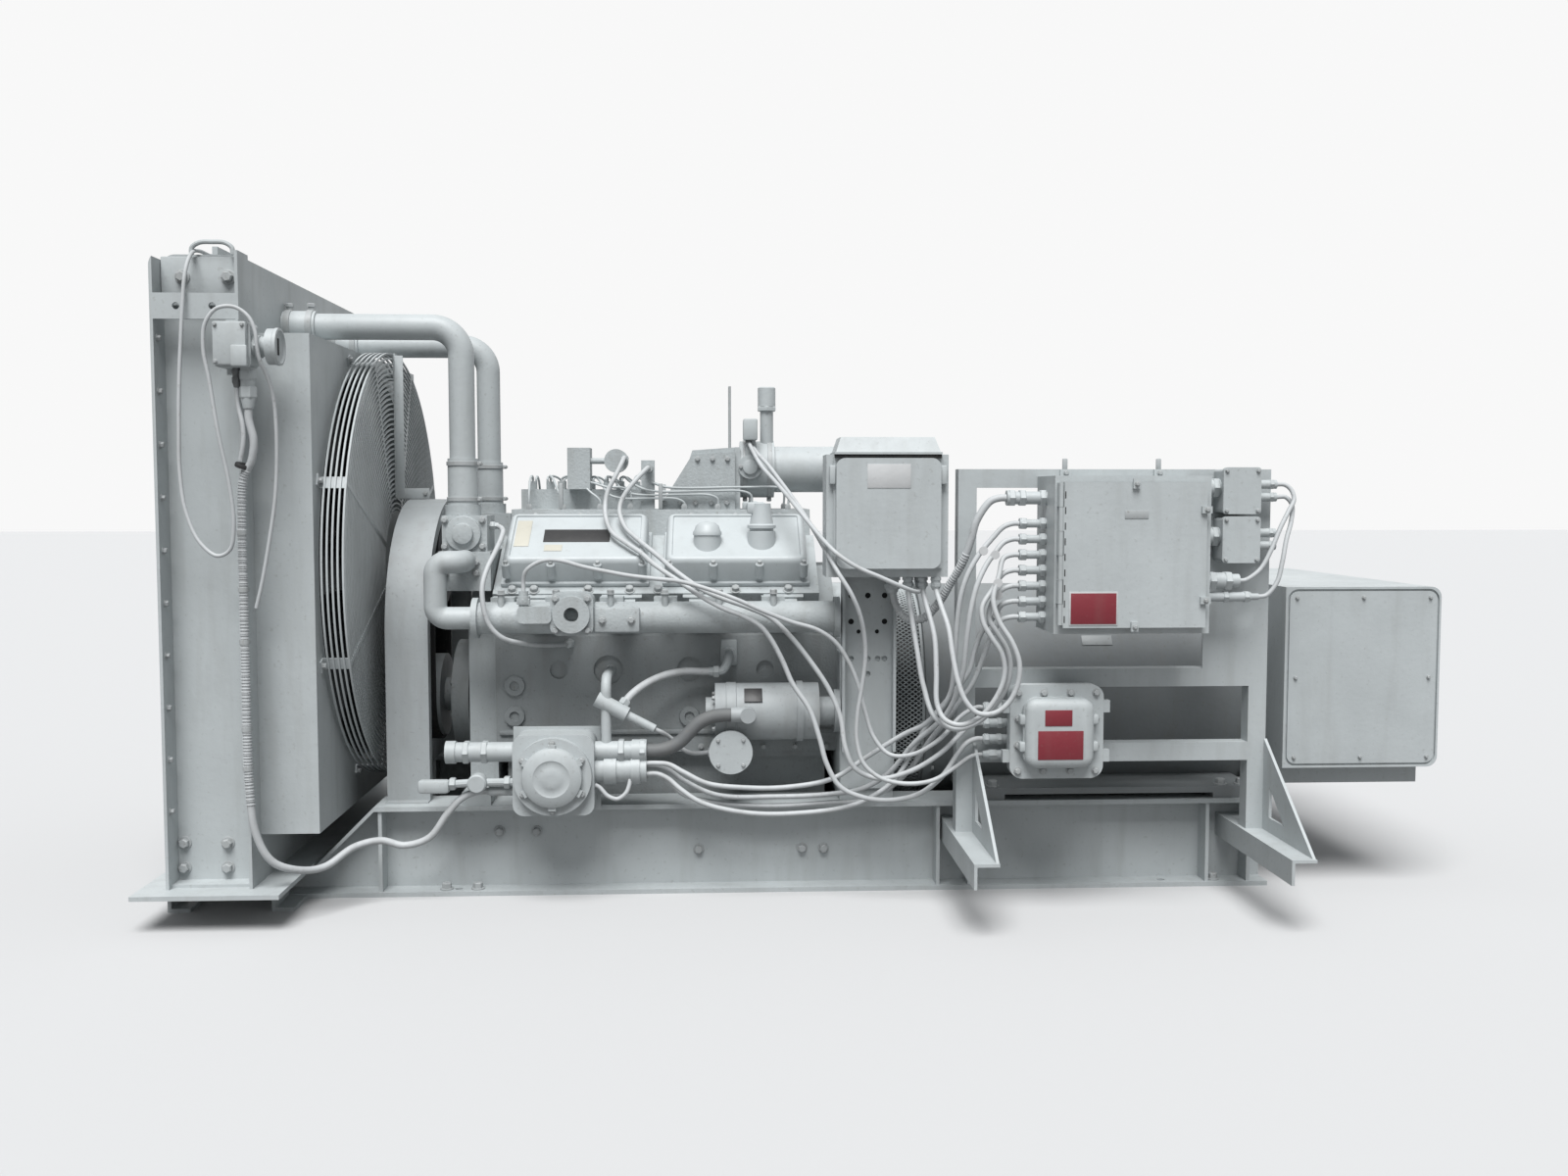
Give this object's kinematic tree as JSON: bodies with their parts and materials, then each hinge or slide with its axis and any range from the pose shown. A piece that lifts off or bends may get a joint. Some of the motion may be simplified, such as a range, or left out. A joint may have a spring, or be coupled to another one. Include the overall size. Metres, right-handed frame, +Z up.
{
  "type": "diesel generator",
  "caption": "Skid-mounted diesel generating set: vee engine with a set-mounted radiator and fan, a close-coupled generator and a control frame on one side of an I-beam base.",
  "frame": {"origin": "on the underside of the base below the crank axis, in the middle of the base's low cross member", "axes": "+X from the radiator to the generator, -Y the control side, +Z up"},
  "size_m": [3.534, 1.725, 1.764],
  "materials": {
    "grey_paint": "light grey machine enamel, satin, a little dusty",
    "engine_paint": "grey enamel over rough castings",
    "pale_paint": "pale grey enamel over smooth castings",
    "dark_paint": "matt near-black paint",
    "rubber": "matt black belt rubber",
    "cable_jacket": "grey cable jacket, oversprayed with paint"
  },
  "bodies": {
    "skid": {"base_rails": "grey_paint", "base_cross_members": "grey_paint", "radiator_sills": "grey_paint", "radiator_foot_plate": "grey_paint", "radiator_columns": "grey_paint", "radiator_core": "dark_paint", "radiator_top_tank": "grey_paint", "radiator_bottom_tank": "grey_paint", "fan_shroud": "grey_paint", "fan_guard": "grey_paint", "belt_guard": "grey_paint", "fan_bearing": "engine_paint", "drive_belt": "rubber", "engine_block": "engine_paint", "oil_pan": "engine_paint", "front_engine_support": "grey_paint", "gear_housing": "engine_paint", "flywheel_housing": "engine_paint", "cylinder_heads": "engine_paint", "rocker_covers": "pale_paint", "exhaust_manifolds": "engine_paint", "valley_housing": "engine_paint", "injection_pump": "engine_paint", "aftercooler": "engine_paint", "air_intake_pipe": "grey_paint", "thermostat_housing": "engine_paint", "coolant_pipes": "grey_paint", "bypass_elbow": "grey_paint", "starter_motor": "grey_paint", "starter_box": "grey_paint", "coupling_screen": "grey_paint", "generator_barrel": "grey_paint", "generator_end_housing": "grey_paint", "control_frame": "grey_paint", "control_outriggers": "grey_paint", "control_box": "grey_paint", "cable_glands": "grey_paint", "side_boxes": "grey_paint", "flameproof_box": "grey_paint", "round_box": "grey_paint", "hooded_box": "grey_paint", "hooded_box_post": "grey_paint", "radiator_switch": "grey_paint", "overflow_hose": "cable_jacket", "sensor_conduit": "cable_jacket", "starter_conduit": "cable_jacket", "panel_cable_a": "cable_jacket", "panel_cable_b": "cable_jacket", "panel_cable_c": "cable_jacket", "panel_cable_d": "cable_jacket", "panel_cable_e": "cable_jacket", "panel_cable_f": "cable_jacket", "panel_cable_g": "cable_jacket", "panel_cable_h": "cable_jacket", "engine_cable_a": "cable_jacket", "engine_cable_b": "cable_jacket", "engine_cable_c": "cable_jacket"},
    "fan_rotor": {"fan": "dark_paint"},
    "crank_nose": {"crank_damper": "engine_paint"},
    "panel_door": {"control_box_door": "grey_paint"}
  },
  "joints": [
    {"name": "crank_spin", "type": "hinge", "parent": "skid", "child": "crank_nose", "pos_m": [0, 0, 0.506], "axis": [1, 0, 0], "continuous": true},
    {"name": "fan_spin", "type": "hinge", "parent": "skid", "child": "fan_rotor", "pos_m": [0, 0, 0.91], "axis": [1, 0, 0], "continuous": true},
    {"name": "door_swing", "type": "hinge", "parent": "skid", "child": "panel_door", "pos_m": [0.60067, -0.821, 0.96], "axis": [0, 0, -1], "range_deg": [0, 110]}
  ],
  "couplings": [
    {"joint": "fan_spin", "follows": "crank_spin", "ratio": 1}
  ]
}
